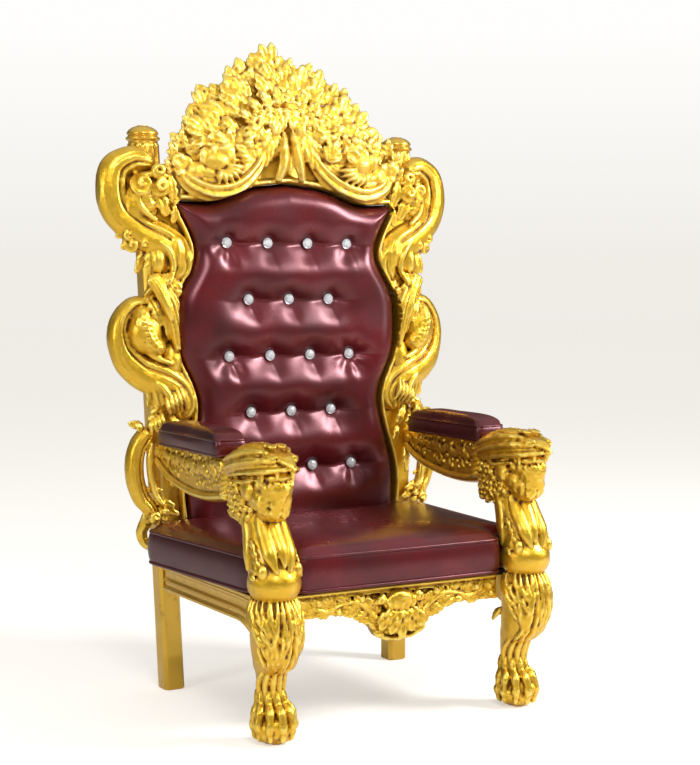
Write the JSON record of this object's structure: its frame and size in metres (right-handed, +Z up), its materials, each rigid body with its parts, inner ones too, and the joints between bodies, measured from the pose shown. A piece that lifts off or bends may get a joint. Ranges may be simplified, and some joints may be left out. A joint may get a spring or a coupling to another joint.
{
  "type": "throne",
  "caption": "High-backed ceremonial throne with a carved and gilded frame, lion-headed front legs, padded arms, a deep seat and a button-tufted leather back.",
  "frame": {"origin": "centre of the bounding box's bottom face, on the floor midway between the four feet, front to back and side to side", "axes": "+Z up, -Y towards the front of the seat, +X to the right as seen from the front"},
  "size_m": [1.0978, 0.866, 1.8],
  "materials": {
    "gilt": "bright gold leaf paint over carved wood, glossy, browner in the recesses",
    "leather": "glossy burgundy leatherette",
    "crystal": "faceted clear crystal in a dark silver rim",
    "lining": "black lining cloth over board"
  },
  "bodies": {
    "root": {"back_post_right": "gilt", "back_post_left": "gilt", "side_carving_right": "gilt", "side_carving_left": "gilt", "crest": "gilt", "back_cushion": "leather", "back_panel": "leather", "button_1_1": "crystal", "button_1_2": "crystal", "button_1_3": "crystal", "button_1_4": "crystal", "button_2_1": "crystal", "button_2_2": "crystal", "button_2_3": "crystal", "button_3_1": "crystal", "button_3_2": "crystal", "button_3_3": "crystal", "button_3_4": "crystal", "button_4_1": "crystal", "button_4_2": "crystal", "button_4_3": "crystal", "button_5_1": "crystal", "button_5_2": "crystal", "button_5_3": "crystal", "button_5_4": "crystal", "seat_cushion": "leather", "side_rail_right": "gilt", "side_rail_left": "gilt", "back_rail": "gilt", "apron": "gilt", "seat_board": "lining", "lion_leg_right": "gilt", "lion_leg_left": "gilt", "arm_rail_right": "gilt", "arm_rail_left": "gilt", "arm_pad_right": "leather", "arm_pad_left": "leather"}
  },
  "joints": []
}
